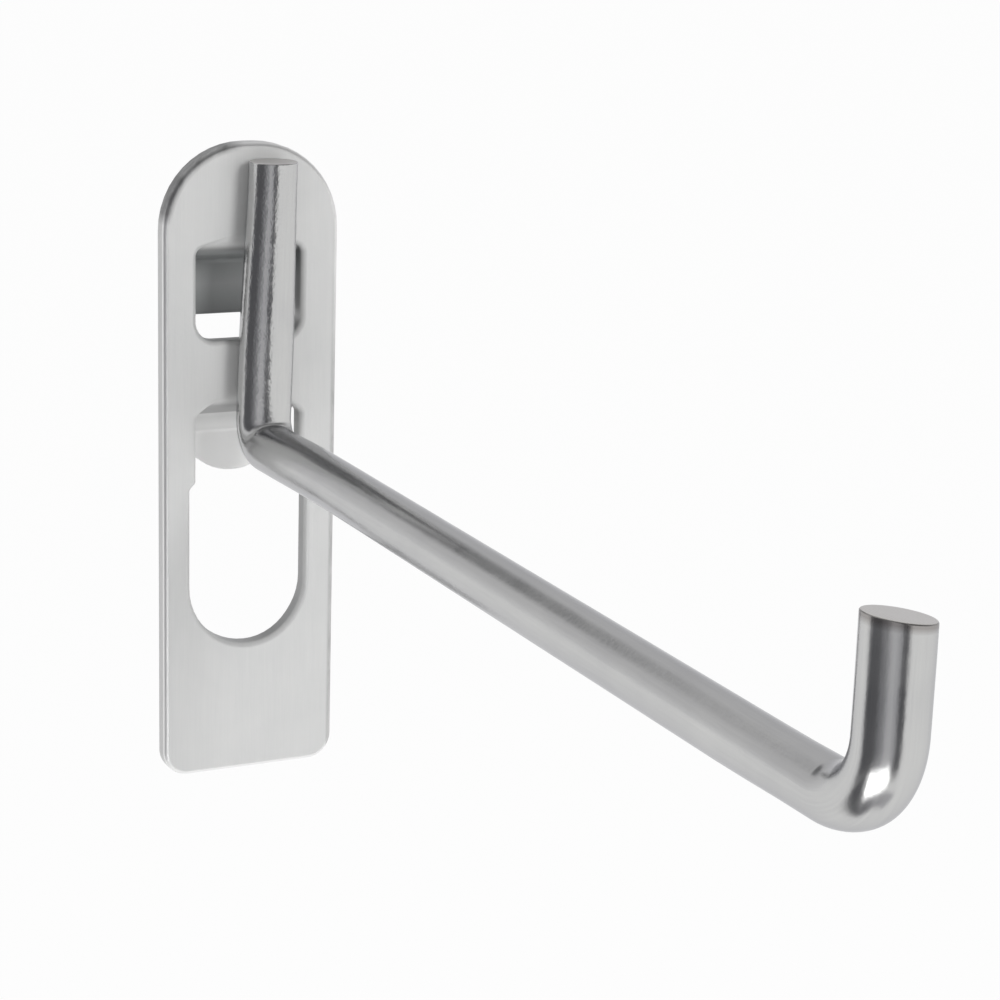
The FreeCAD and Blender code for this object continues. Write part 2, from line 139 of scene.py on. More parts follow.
def edges_among(parts):
    return [part for part in parts if isinstance(part, bmesh.types.BMEdge)]


def verts_of(edges):
    """The points of some edges, each once, in the order of the edges."""
    return list(dict.fromkeys(vert for edge in edges for vert in edge.verts))


def finish_mesh(bm, name):
    """Turns a bmesh into an object with outward normals and smooth shading between its sharp edges."""
    bmesh.ops.recalc_face_normals(bm, faces=bm.faces)
    for face in bm.faces:
        face.smooth = True
    for edge in bm.edges:
        edge.smooth = not (edge.is_manifold and edge.calc_face_angle() > sharp_from)
    mesh = bpy.data.meshes.new(name)
    bm.to_mesh(mesh)
    bm.free()
    obj = bpy.data.objects.new(name, mesh)
    bpy.context.scene.collection.objects.link(obj)
    normals = obj.modifiers.new("flat faces keep flat", "WEIGHTED_NORMAL")
    normals.keep_sharp = True
    return obj


# The pressed plate. Its outlines are arcs, each with its centre's x and z, its radius, the side of it
# that the sheet is on, its first angle and its turn.
INSIDE = -1
OUTSIDE = 1


def trace(bm, depth, arcs, inset):
    """One closed outline at a depth, drawn back into the sheet by the inset. Straight runs join the arcs."""
    vert = None
    edges_before = set(bm.edges)
    for centre_x, centre_z, radius, sheet_side, first, turn in arcs:
        radius = radius + sheet_side * inset
        place = point(centre_x + radius * math.cos(first), depth, centre_z + radius * math.sin(first))
        if vert is None:
            vert = bmesh.ops.create_vert(bm, co=place)["vert"][0]
            start = vert
        else:
            vert = bmesh.ops.extrude_vert_indiv(bm, verts=[vert])["verts"][0]
            vert.co = place
        steps = max(least_steps, round(abs(turn) / fine_turn))
        if radius > wide_arc:
            steps = wide_arc_steps
        spun = bmesh.ops.spin(bm, geom=[vert], cent=point(centre_x, depth, centre_z), axis=(0, -1, 0),
                              dvec=(0, 0, 0), angle=turn, steps=steps)
        vert = verts_among(spun["geom_last"])[0]
    bm.edges.new((vert, start))
    return [edge for edge in bm.edges if edge not in edges_before]


def outer_arcs():
    foot_x = half_width - foot_corner
    foot_z = plate_foot + foot_corner
    top_z = plate_top - top_radius
    return [(foot_x, foot_z, foot_corner, INSIDE, -QUARTER, QUARTER),
            (half_top_flat, top_z, top_radius, INSIDE, 0.0, QUARTER),
            (-half_top_flat, top_z, top_radius, INSIDE, QUARTER, QUARTER),
            (-foot_x, foot_z, foot_corner, INSIDE, 2 * QUARTER, QUARTER)]


def crowned_top(top, crown_radius):
    """The corner and crown arcs of an opening's top edge, from its right side over to its left side."""
    crown_z = top - crown_radius
    corner_x = opening_half - punch_corner
    corner_z = crown_z + math.sqrt((crown_radius - punch_corner) ** 2 - corner_x ** 2)
    lean = math.atan2(corner_x, corner_z - crown_z)
    return [(corner_x, corner_z, punch_corner, OUTSIDE, 0.0, QUARTER - lean),
            (0.0, crown_z, crown_radius, OUTSIDE, QUARTER - lean, 2 * lean),
            (-corner_x, corner_z, punch_corner, OUTSIDE, QUARTER + lean, QUARTER - lean)]


def window_arcs():
    corner_x = opening_half - window_corner
    corner_z = window_foot + window_corner
    return ([(corner_x, corner_z, window_corner, OUTSIDE, -QUARTER, QUARTER)]
            + crowned_top(window_top, window_crown)
            + [(-corner_x, corner_z, window_corner, OUTSIDE, 2 * QUARTER, QUARTER)])


def slot_arcs():
    eighth = QUARTER / 2
    lower_x, lower_z = round_foot - shoulder_roll, shoulder_z - shoulder_reach
    upper_x, upper_z = opening_half + shoulder_roll, shoulder_z + shoulder_reach
    return ([(0.0, round_foot_z, round_foot, OUTSIDE, 2 * QUARTER, 2 * QUARTER),
             (lower_x, lower_z, shoulder_roll, OUTSIDE, 0.0, eighth),
             (upper_x, upper_z, shoulder_roll, INSIDE, 5 * eighth, -eighth)]
            + crowned_top(slot_top, slot_crown)
            + [(-upper_x, upper_z, shoulder_roll, INSIDE, 0.0, -eighth),
               (-lower_x, lower_z, shoulder_roll, OUTSIDE, 3 * eighth, eighth)])


def add_sheet(bm):
    """The plate's sheet: front edges rolled over by the press, back edges only broken."""
    steps_in_roll = 7
    rounded = 0.3 * back_break
    layers = [(0.0, back_break), (-rounded, rounded), (-back_break, 0.0)]
    for step in range(steps_in_roll + 1):
        turn = QUARTER * step / steps_in_roll
        layers.append((-sheet + front_roll * (1 - math.sin(turn)), front_roll * (1 - math.cos(turn))))
    back_rings, front_rings = [], []
    for arcs in (outer_arcs(), window_arcs(), slot_arcs()):
        rings = [trace(bm, depth, arcs, inset) for depth, inset in layers]
        for ring, following in zip(rings, rings[1:]):
            bmesh.ops.bridge_loops(bm, edges=ring + following)
        back_rings += rings[0]
        front_rings += rings[-1]
    for rings in (back_rings, front_rings):
        bmesh.ops.triangle_fill(bm, use_beauty=True, use_dissolve=False, edges=rings)


def add_tongue(bm, bend_start, drop, hang, end_radius):
    """A tongue lanced out of the sheet: a cap across the sheet turns back, slopes, turns down and hangs."""
    steps_in_bend = 10
    runs_in_slope = 2
    steps_in_end = 10
    bend_end = bend_start - drop
    round_start = bend_end - hang + end_radius
    free = math.sqrt(drop ** 2 + set_back ** 2 - 4 * bend_middle * set_back)
    slope = 2 * math.atan2(set_back, drop + free)
    known_verts = set(bm.verts)
    known_edges = set(bm.edges)
    corner = bmesh.ops.create_vert(bm, co=point(-tongue_half, -sheet, bend_start))["vert"][0]
    other = bmesh.ops.extrude_vert_indiv(bm, verts=[corner])["verts"][0]
    other.co = point(tongue_half, -sheet, bend_start)
    front = [edge for edge in bm.edges if edge not in known_edges]
    raised = bmesh.ops.extrude_edge_only(bm, edges=front)["geom"]
    bmesh.ops.translate(bm, vec=point(0, sheet, 0), verts=verts_among(raised))
    cap = [face for face in bm.faces if all(vert not in known_verts for vert in face.verts)][0]

    def turn_ring(ring, centre_y, centre_z, angle):
        spun = bmesh.ops.spin(bm, geom=ring + verts_of(ring), cent=point(0, centre_y, centre_z),
                              axis=(1, 0, 0), dvec=(0, 0, 0), angle=angle, steps=steps_in_bend)
        return edges_among(spun["geom_last"])

    def move_ring(ring, way):
        moved = bmesh.ops.extrude_edge_only(bm, edges=ring)["geom"]
        bmesh.ops.translate(bm, vec=way, verts=verts_among(moved))
        return [edge for edge in edges_among(moved) if all(vert in moved for vert in edge.verts)]

    ring = turn_ring(list(cap.edges), -sheet / 2 + bend_middle, bend_start, slope)
    run_y = set_back - 2 * bend_middle * (1 - math.cos(slope))
    run_z = drop - 2 * bend_middle * math.sin(slope)
    for _ in range(runs_in_slope):
        ring = move_ring(ring, point(0, run_y, -run_z) / runs_in_slope)
    ring = turn_ring(ring, set_back - sheet / 2 - bend_middle, bend_end, -slope)
    height = bend_end
    if round_start < height:
        ring = move_ring(ring, point(0, 0, round_start - height))
        height = round_start
    sweep = math.asin((round_start - height) / end_radius)
    for step in range(steps_in_end):
        angle = sweep + (QUARTER - sweep) * (step + 1) / steps_in_end
        lower = round_start - end_radius * math.sin(angle)
        ring = move_ring(ring, point(0, 0, lower - height))
        height = lower
    bmesh.ops.contextual_create(bm, geom=ring)
    for vert in bm.verts:
        below = min(1.0, (round_start - vert.co.z / MM) / end_radius)
        if vert not in known_verts and below > 0:
            half = tongue_half - end_radius * (1 - math.sqrt(1 - below ** 2))
            vert.co.x = math.copysign(half * MM, vert.co.x)
    rail_angle = 1.0
    rails = [edge for edge in bm.edges if edge not in known_edges and edge.is_manifold
             and edge not in cap.edges and edge.calc_face_angle() > rail_angle]
    bmesh.ops.recalc_face_normals(bm, faces=bm.faces)
    bmesh.ops.bevel(bm, geom=rails, offset=tongue_edge * MM, offset_type="OFFSET", segments=2, profile=0.5,
                    affect="EDGES", material=-1, clamp_overlap=False)


plate_mesh = bmesh.new()
add_sheet(plate_mesh)
add_tongue(plate_mesh, window_top + upper_lead, upper_drop, upper_hang, upper_end)
add_tongue(plate_mesh, slot_top + lower_lead, lower_drop, lower_hang, lower_end)
for vert in plate_mesh.verts:
    at_openings = inset_foot * MM < vert.co.z < inset_top * MM
    if at_openings and 0 < vert.co.x < inset_reach_x * MM:
        vert.co.x -= right_inset * MM * min(1.0, vert.co.x / (full_inset_x * MM))
plate = finish_mesh(plate_mesh, "plate_pressing")

# The bent rod: a ring pushed down the leg, round the root bend, along the arm and up the tip
sides = 72
steps_in_rim = 4
steps_in_leg = 8
steps_in_root = 28
steps_in_arm = 24
steps_in_turn = 36
steps_in_tip = 3
leg_length = leg_top - root_z
arm_start = leg_length + root_bend * QUARTER
arm_length = root_y - tip_y
tip_start = arm_start + arm_length
tip_foot = tip_start + tip_bend * tip_turn
rod_length = tip_foot + tip_straight
rod_mesh = bmesh.new()


def push(ring, way):
    grown = bmesh.ops.extrude_edge_only(rod_mesh, edges=ring)["geom"]
    ends = verts_among(grown)
    bmesh.ops.translate(rod_mesh, vec=way * MM, verts=ends)
    return [edge for edge in edges_among(grown) if all(vert in ends for vert in edge.verts)]


def bend(ring, centre, angle, steps):
    spun = bmesh.ops.spin(rod_mesh, geom=ring + verts_of(ring), cent=centre, axis=(1, 0, 0),
                          dvec=(0, 0, 0), angle=angle, steps=steps)
    return edges_among(spun["geom_last"])


def rim(ring, along, middle, turns):
    """A rounded rim at an end of the rod. The turns are the angles of its quarter circle, in their order."""
    for before, after in zip(turns, turns[1:]):
        step = end_rim * abs(math.sin(after) - math.sin(before))
        ring = push(ring, along * step)
        middle = middle + along * step
        old_radius = rod_radius - end_rim * (1 - math.cos(before))
        new_radius = rod_radius - end_rim * (1 - math.cos(after))
        share = new_radius / old_radius
        bmesh.ops.scale(rod_mesh, vec=(share, share, share), space=Matrix.Translation(-middle * MM),
                        verts=verts_of(ring))
    return ring


rim_turns = [QUARTER * step / steps_in_rim for step in range(steps_in_rim + 1)]
down = Vector((0, 0, -1))
outward = Vector((0, -1, 0))
lean = tip_turn - QUARTER
along_tip = Vector((0, math.sin(lean), math.cos(lean)))
across_tip = Vector((0, -math.cos(lean), math.sin(lean)))
foot_place = Vector((rod_x, tip_y - tip_bend * math.cos(lean), tip_z + tip_bend * math.sin(lean)))
leg_end = Vector((rod_x, leg_y, leg_top))
bmesh.ops.create_circle(rod_mesh, cap_ends=True, segments=sides, radius=(rod_radius - end_rim) * MM,
                        matrix=Matrix.Translation(leg_end * MM))
ring = rim(list(rod_mesh.edges), down, leg_end, rim_turns[::-1])
for _ in range(steps_in_leg):
    ring = push(ring, down * (leg_length - end_rim) / steps_in_leg)
ring = bend(ring, point(0, root_y, root_z), -QUARTER, steps_in_root)
for _ in range(steps_in_arm):
    ring = push(ring, outward * arm_length / steps_in_arm)
ring = bend(ring, point(0, tip_y, tip_z), -tip_turn, steps_in_turn)
for _ in range(steps_in_tip):
    ring = push(ring, along_tip * (tip_straight - end_rim) / steps_in_tip)
ring = rim(ring, along_tip, foot_place + along_tip * (tip_straight - end_rim), rim_turns)
bmesh.ops.contextual_create(rod_mesh, geom=ring)


def straightened(place):
    """Where a point of the rod lay before it was bent: across, towards the outer side, and along from
    the leg's end."""
    clear_of_leg = -20.0
    x, y, z = place / MM
    across = x - rod_x
    if z > root_z and y > clear_of_leg:
        return across, y - leg_y, leg_top - z
    if y > root_y:
        reach = math.hypot(y - root_y, z - root_z)
        return across, reach - root_bend, leg_length + root_bend * math.atan2(root_z - z, y - root_y)
    if y > tip_y and z < tip_z:
        return across, arm_z - z, arm_start + root_y - y
    turned = math.atan2(tip_y - y, tip_z - z)
    if turned < tip_turn:
        return across, math.hypot(y - tip_y, z - tip_z) - tip_bend, tip_start + tip_bend * turned
    from_foot = Vector((x, y, z)) - foot_place
    return across, from_foot.dot(across_tip), tip_foot + from_foot.dot(along_tip)


def eased(value, low, high):
    """Runs smoothly from 0 at the low end to 1 at the high end."""
    share = min(1.0, max(0.0, (value - low) / (high - low)))
    return share * share * (3 - 2 * share)


# The press spreads the rod sideways in its bends, and leaves the leg and the tip leaning a little.
# The arm tapers a little on its upper side, the heel of the tip's bend is flattened from below,
# and the tip was sheared out of square.
leg_lean, leg_spread = 1.1, 0.16
lean_above, lean_below = 0.55, 0.45
tip_lean, tip_spread = 0.2, 0.05
tip_lift, tip_slope, sheared_length = 0.25, 0.16, 2.5
arm_taper, heel_flat = 0.26, 0.35

# Where along the rod each of these grows and fades
root_spread_grows, root_spread_fades = (0, 26), (arm_start - 2, arm_start + 22)
tip_spread_grows = (tip_start - 12, tip_start + 2)
leg_lean_settles = (leg_length, arm_start + 22)
tip_lean_grows = (tip_start + 4, rod_length)
taper_grows, taper_fades = (arm_start, arm_start + 15), (tip_start - 4, tip_start + 4)
heel_grows, heel_fades = (tip_start - 16, tip_start), (tip_start + 1, tip_start + 7)


def spread_at(along):
    in_root = eased(along, *root_spread_grows) - eased(along, *root_spread_fades)
    in_tip = eased(along, *tip_spread_grows)
    return 1 + leg_spread * in_root + tip_spread * in_tip


def shift_at(along):
    down_leg = min(1.0, along / leg_length)
    to_arm = eased(along, *leg_lean_settles)
    up_tip = eased(along, *tip_lean_grows)
    return leg_lean * (lean_above - down_leg + lean_below * to_arm) + tip_lean * up_tip


def rise_at(aside, along):
    upper = max(0.0, -aside / rod_radius)
    lower = max(0.0, aside / rod_radius)
    along_arm = min(1.0, max(0.0, (along - arm_start) / arm_length))
    on_arm = eased(along, *taper_grows) - eased(along, *taper_fades)
    in_heel = eased(along, *heel_grows) - eased(along, *heel_fades)
    return arm_taper * (1 - 2 * along_arm) * upper * on_arm + heel_flat * lower * in_heel


furthest_y = size["frame"][0][1]
straight_place = rod_mesh.verts.layers.float_vector.new("straight_place")
for vert in rod_mesh.verts:
    across, aside, along = straightened(vert.co)
    vert[straight_place] = Vector((across, aside, along)) * MM
    vert.co.x = (rod_x + across * spread_at(along) + shift_at(along)) * MM
    vert.co.z += rise_at(aside, along) * MM
    vert.co.y = max(furthest_y, min(vert.co.y, -sheet * MM))
    if along > rod_length - sheared_length:
        vert.co.z += (tip_lift - tip_slope * across) * MM
rod = finish_mesh(rod_mesh, "bent_rod")

for piece, node_name, slot_name in ((plate, "back_plate", "plate_zinc"), (rod, "hook_rod", "rod_zinc")):
    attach(piece, "root")
    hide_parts(node_name)


# Nodes and what they are built with

def group(name, inputs, outputs):
    """A node group with named inputs and outputs: its tree, what comes in and what goes out."""
    tree = bpy.data.node_groups.new(name, "ShaderNodeTree")
    for label, kind in inputs:
        tree.interface.new_socket(label, in_out="INPUT", socket_type=kind)
    for label, kind in outputs:
        tree.interface.new_socket(label, in_out="OUTPUT", socket_type=kind)
    entry = tree.nodes.new("NodeGroupInput")
    leave = tree.nodes.new("NodeGroupOutput")
    return tree, entry.outputs, leave.inputs


def node(tree, kind, settings=(), **sockets):
    """Adds a node. Settings are its own properties. Sockets go by name, or by i and their number, and take
    a value or another node's output."""
    made = tree.nodes.new("ShaderNode" + kind)
    for label, value in dict(settings).items():
        setattr(made, label, value)
    for label, value in sockets.items():
        numbered = label[0] == "i" and label[1:].isdigit()
        socket = made.inputs[int(label[1:])] if numbered else made.inputs[label]
        if isinstance(value, bpy.types.NodeSocket):
            tree.links.new(value, socket)
        else:
            socket.default_value = value
    return made


def placed(tree, group_tree, place):
    """Places a node group in a tree, reading a place, and gives its outputs."""
    made = tree.nodes.new("ShaderNodeGroup")
    made.node_tree = group_tree
    tree.links.new(place, made.inputs["Place"])
    return made.outputs


def maths(tree, operation, first, second=0.0):
    return node(tree, "Math", {"operation": operation}, i0=first, i1=second).outputs[0]


def times(tree, first, *others):
    product = first
    for other in others:
        product = maths(tree, "MULTIPLY", product, other)
    return product


def plus(tree, first, *others):
    total = first
    for other in others:
        total = maths(tree, "ADD", total, other)
    return total


def mapped(tree, value, band, to_low, to_high):
    """Runs from one number to another while a value crosses a band, which is its low and its high end."""
    made = node(tree, "MapRange", {"clamp": True}, Value=value)
    ends = {"From Min": band[0], "From Max": band[1], "To Min": to_low, "To Max": to_high}
    for label, end in ends.items():
        made.inputs[label].default_value = end
    return made.outputs["Result"]


def rising(tree, value, band, top=1.0):
    return mapped(tree, value, band, 0.0, top)


def falling(tree, value, band):
    return mapped(tree, value, band, 1.0, 0.0)


def mixed(tree, first, second, share):
    """A share of the second colour over the first. Each is a colour or another node's output."""
    return node(tree, "Mix", {"data_type": "RGBA"}, Factor=share, i6=first, i7=second).outputs[2]


def ramp(tree, share, stops, interpolation="LINEAR"):
    """Colours along a share from 0 to 1. The first and the last stop are at its ends."""
    made = node(tree, "ValToRGB", (), Fac=share)
    elements = made.color_ramp.elements
    for at, colour in stops:
        if at <= 0:
            stop = elements[0]
        elif at >= 1:
            stop = elements[-1]
        else:
            stop = elements.new(at)
        stop.color = colour
    made.color_ramp.interpolation = interpolation
    return made.outputs["Color"]


def noise(tree, place, scale, detail, rough, distortion=0.0):
    return node(tree, "TexNoise", (), Vector=place, Scale=scale, Detail=detail, Roughness=rough,
                Distortion=distortion).outputs["Fac"]


def stretched(tree, place, stretch):
    return node(tree, "VectorMath", {"operation": "MULTIPLY"}, i0=place, i1=stretch).outputs[0]


def grey(shade, blue=1.0):
    return (shade, shade, shade * blue, 1)


# Zinc

# Fine lines left by rolling or drawing, along the third axis of the place that is given
drawn, drawn_in, drawn_out = group("drawn_lines", [("Place", "NodeSocketVector")],
                                   [("Lines", "NodeSocketFloat"), ("Blotches", "NodeSocketFloat")])
fine_place = stretched(drawn, drawn_in["Place"], (1.0, 1.0, 0.03))
broad_place = stretched(drawn, drawn_in["Place"], (1.0, 1.0, 0.05))
blotch_place = stretched(drawn, drawn_in["Place"], (1.0, 1.0, 0.35))
fine = noise(drawn, fine_place, scale=5200, detail=3.0, rough=0.6)
broad = noise(drawn, broad_place, scale=1300, detail=2.0, rough=0.5)
blotches = noise(drawn, blotch_place, scale=420, detail=3.0, rough=0.6, distortion=0.4)
fine_share, broad_share = 0.6, 0.4
lines = plus(drawn, times(drawn, fine, fine_share), times(drawn, broad, broad_share))
drawn.links.new(lines, drawn_out["Lines"])
drawn.links.new(blotches, drawn_out["Blotches"])

# The plating itself: tiny grains, a mottle of small dents, and faint clouds where it was handled
plating, plating_in, plating_out = group("zinc_plating", [("Place", "NodeSocketVector")],
                                         [("Grain", "NodeSocketFloat"), ("Mottle", "NodeSocketFloat"),
                                          ("Clouds", "NodeSocketFloat")])
grain = noise(plating, plating_in["Place"], scale=9000, detail=2.0, rough=0.6)
mottle = noise(plating, plating_in["Place"], scale=1900, detail=2.0, rough=0.6)
clouds = noise(plating, plating_in["Place"], scale=70, detail=3.0, rough=0.55, distortion=0.6)
plating.links.new(grain, plating_out["Grain"])
plating.links.new(mottle, plating_out["Mottle"])
plating.links.new(clouds, plating_out["Clouds"])

specular_tint = (0.72, 0.72, 0.74, 1)
burnished_zinc = (0.94, 0.94, 0.93, 1)
# Darker grey for the walls of the openings: partly torn steel, partly painted shade
shaded_torn_steel = grey(0.26)
# Painted shade for the darker stretches of the plate's rolled rim
rim_shade = grey(0.20)
# Bands of painted shade for the upper tongue, seen through the window
upper_tongue_shade_bands = [(0, (0.16, 0.165, 0.165, 1)), (0.1, (0.30, 0.31, 0.31, 1)),
                      (0.45, (0.42, 0.43, 0.43, 1)), (1, (0.22, 0.23, 0.23, 1))]
# Painted light that lightens the lower tongue's face
painted_light_tongue = (0.86, 0.86, 0.85, 1)
bare_dark, bare_light = (0.74, 0.72, 0.69, 1), (0.84, 0.82, 0.79, 1)
# A darker brownish band just below the tip's end
dark_band_colour = (0.27, 0.25, 0.24, 1)


class Zinc:
    """A zinc-plated steel in the making, with the colour and the roughness that its marks are laid over."""

    def __init__(self, name, place_of, metal, dark, light, smooth, rough):
        cloud_tone, line_tone = 0.55, 0.45
        cloud_polish, blotch_polish = 0.5, 0.5
        tone_band, polish_band = (0.3, 0.7), (0.35, 0.65)
        self.material = bpy.data.materials.new(name)
        self.material.use_nodes = True
        tree = self.material.node_tree
        self.tree = tree
        self.metal = metal
        self.shader = tree.nodes["Principled BSDF"]
        self.shader.inputs["Metallic"].default_value = metal
        self.shader.inputs["Specular Tint"].default_value = specular_tint
        self.place = place_of(tree)
        self.lines = placed(tree, drawn, self.place)
        self.coat = placed(tree, plating, self.place)
        tone = plus(tree, times(tree, self.coat["Clouds"], cloud_tone),
                    times(tree, self.lines["Lines"], line_tone))
        self.colour = mixed(tree, dark, light, rising(tree, tone, tone_band))
        polish = plus(tree, times(tree, self.lines["Blotches"], blotch_polish),
                      times(tree, self.coat["Clouds"], cloud_polish))
        self.roughness = mapped(tree, polish, polish_band, smooth, rough)

    def cover(self, colour, share):
        self.colour = mixed(self.tree, self.colour, colour, share)

    def roughen(self, amount, share):
        self.roughness = plus(self.tree, self.roughness, times(self.tree, share, amount))

    def finish(self, line_depth, blotch_depth, mottle_depth):
        """Gives the shader its colour, roughness and relief. A depth of 1 is 0.02 mm."""
        tree = self.tree
        grain_depth = 0.25
        height = plus(tree, times(tree, self.lines["Lines"], line_depth),
                      times(tree, self.lines["Blotches"], blotch_depth),
                      times(tree, self.coat["Grain"], grain_depth),
                      times(tree, self.coat["Mottle"], mottle_depth))
        bump = node(tree, "Bump", (), Strength=0.35, Distance=0.02 * MM, Height=height)
        tree.links.new(self.colour, self.shader.inputs["Base Color"])
        tree.links.new(self.roughness, self.shader.inputs["Roughness"])
        tree.links.new(bump.outputs["Normal"], self.shader.inputs["Normal"])
        return self.material


def in_millimetres(tree, place):
    """The three parts of a place, in millimetres."""
    return node(tree, "SeparateXYZ", (), Vector=stretched(tree, place, (1 / MM, 1 / MM, 1 / MM))).outputs


# The marks. Each band is where, in millimetres, a mark grows or fades.

def mark_edges(zinc, x, y, z):
    """Darker sides in the openings, partly the torn steel of the punched edges and partly painted shade,
    which also reaches the tongues' roots, and a burnished roll round the plate's outside.
    """
    tree = zinc.tree
    openings_side, openings_foot, openings_top = (9.5, 9.7), (-40.5, -39.5), (17.0, 18.5)
    torn_front, torn_back = (-2.2, -1.7), (-0.2, 0.0)
    roll_front, roll_back = (-2.49, -2.4), (-1.9, -1.7)
    torn_strength = 0.7
    roll_roughness = 0.08
    at_openings = times(tree, falling(tree, maths(tree, "ABSOLUTE", x), openings_side),
                        rising(tree, z, openings_foot), falling(tree, z, openings_top))
    # Partly torn steel and partly painted shade: darkens the walls of the openings and the tongues' roots
    shaded_torn = times(tree, at_openings, rising(tree, y, torn_front, torn_strength), falling(tree, y, torn_back))
    zinc.cover(shaded_torn_steel, shaded_torn)
    roll = times(tree, maths(tree, "SUBTRACT", 1.0, at_openings), rising(tree, y, roll_front),
                 falling(tree, y, roll_back))
    zinc.cover(burnished_zinc, roll)
    zinc.roughen(roll_roughness, roll)
    metallic = plus(tree, zinc.metal, times(tree, roll, 1.0 - zinc.metal))
    tree.links.new(metallic, zinc.shader.inputs["Metallic"])


def mark_rim_shade(zinc, x, z):
    """Painted shade near the rolled rim, broken up by blotches: over the top's left shoulder, and down the
    right side.
    """
    tree = zinc.tree
    left_rim, left_side, left_foot = (10.3, 11.0), (-3.5, -1.0), (19.0, 20.5)
    right_rim, right_height = (11.2, 11.6), (-4.0, 12.0)
    right_strength, right_rest = 0.6, 0.25
    blotch_band = (0.3, 0.6)
    weakest, strongest = 0.45, 0.85
    top_centre = (-half_top_flat, 0.0, plate_top - top_radius)
    in_plane = stretched(tree, zinc.place, (1 / MM, 0.0, 1 / MM))
    span = node(tree, "VectorMath", {"operation": "DISTANCE"}, i0=in_plane, i1=top_centre)
    left_rim_shade = times(tree, rising(tree, span.outputs["Value"], left_rim), falling(tree, x, left_side),
                      rising(tree, z, left_foot))
    right_rim_shade = times(tree, rising(tree, x, right_rim, right_strength),
                       mapped(tree, z, right_height, 1.0, right_rest))
    strength = mapped(tree, zinc.lines["Blotches"], blotch_band, weakest, strongest)
    # Darkens the rim with painted shade, stronger where the blotches are
    zinc.cover(rim_shade, times(tree, maths(tree, "MAXIMUM", left_rim_shade, right_rim_shade), strength))


def mark_tongues(zinc, x, y, z):
    """Painted shade and painted light on the tongues as seen through the openings: the upper one darkened in
    bands of painted shade, the lower one lightened with painted light.
    """
    tree = zinc.tree
    faces_front, faces_back = (1.0, 3.5), (5.0, 6.5)
    upper_foot, lower_top = (-1.0, 3.0), (-6.0, -3.0)
    bend_front, bend_side, bend_foot, bend_top = (-2.1, -1.2), (7.4, 7.6), (10.0, 12.0), (17.4, 18.0)
    banded = (5.5, 15.5)
    front_faces = times(tree, rising(tree, y, faces_front), falling(tree, y, faces_back))
    upper_bend = times(tree, rising(tree, y, bend_front),
                       falling(tree, maths(tree, "ABSOLUTE", x), bend_side),
                       rising(tree, z, bend_foot), falling(tree, z, bend_top))
    # Where the upper tongue is darkened with painted shade: its face and its bend
    upper = maths(tree, "MAXIMUM", times(tree, front_faces, rising(tree, z, upper_foot)), upper_bend)
    zinc.cover(ramp(tree, rising(tree, z, banded), upper_tongue_shade_bands), upper)
    # Painted light on the lower tongue's face
    zinc.cover(painted_light_tongue, times(tree, front_faces, falling(tree, z, lower_top)))


def mark_ends(zinc, along):
    """Bare, finely scored metal on the rod's two end faces, and a darker brownish band just below the tip's
    end.
    """
    tree = zinc.tree
    leg_face, tip_face = (0.02, 0.06), (rod_length - 0.06, rod_length - 0.02)
    dark_band_span = (rod_length - 0.9, rod_length - 0.35)
    dark_band_strength = 0.75
    bare_roughness = 0.12
    faces = maths(tree, "MAXIMUM", falling(tree, along, leg_face), rising(tree, along, tip_face))
    scores = node(tree, "TexWave", {"wave_type": "BANDS", "bands_direction": "X"}, Vector=zinc.place,
                  Scale=900.0, Distortion=3.0, Detail=2.0).outputs["Fac"]
    zinc.cover(mixed(tree, bare_dark, bare_light, scores), faces)
    zinc.roughen(bare_roughness, faces)
    dark_band = times(tree, rising(tree, along, dark_band_span, dark_band_strength), maths(tree, "SUBTRACT", 1.0, faces))
    zinc.cover(dark_band_colour, dark_band)


def object_place(tree):
    return node(tree, "TexCoord").outputs["Object"]


def rod_place(tree):
    return node(tree, "Attribute", {"attribute_name": "straight_place"}).outputs["Vector"]


def plate_zinc():
    zinc = Zinc("plate_zinc", object_place, metal=0.3, dark=(0.62, 0.625, 0.62, 1),
                light=(0.70, 0.70, 0.69, 1), smooth=0.34, rough=0.44)
    x, y, z = in_millimetres(zinc.tree, zinc.place)
    mark_edges(zinc, x, y, z)
    mark_rim_shade(zinc, x, z)
    mark_tongues(zinc, x, y, z)
    return zinc.finish(line_depth=0.5, blotch_depth=0.8, mottle_depth=2.0)


def rod_zinc():
    zinc = Zinc("rod_zinc", rod_place, metal=1.0, dark=(0.52, 0.52, 0.52, 1),
                light=(0.61, 0.61, 0.60, 1), smooth=0.14, rough=0.24)
    along = in_millimetres(zinc.tree, zinc.place)["Z"]
    mark_ends(zinc, along)
    root_band = (30.0, 40.0)
    leg_mottle, arm_mottle = 6.5, 1.0
    mottle_depth = mapped(zinc.tree, along, root_band, leg_mottle, arm_mottle)
    return zinc.finish(line_depth=0.6, blotch_depth=4.0, mottle_depth=mottle_depth)


plate.data.materials.append(plate_zinc())
rod.data.materials.append(rod_zinc())


# Floor and studio, in metres

def stage_object(name, bm, material):
    mesh = bpy.data.meshes.new(name)
    bm.to_mesh(mesh)
    bm.free()
    obj = bpy.data.objects.new(name, mesh)
    bpy.context.scene.collection.objects.link(obj)
    obj.data.materials.append(material)
    obj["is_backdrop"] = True
    return obj


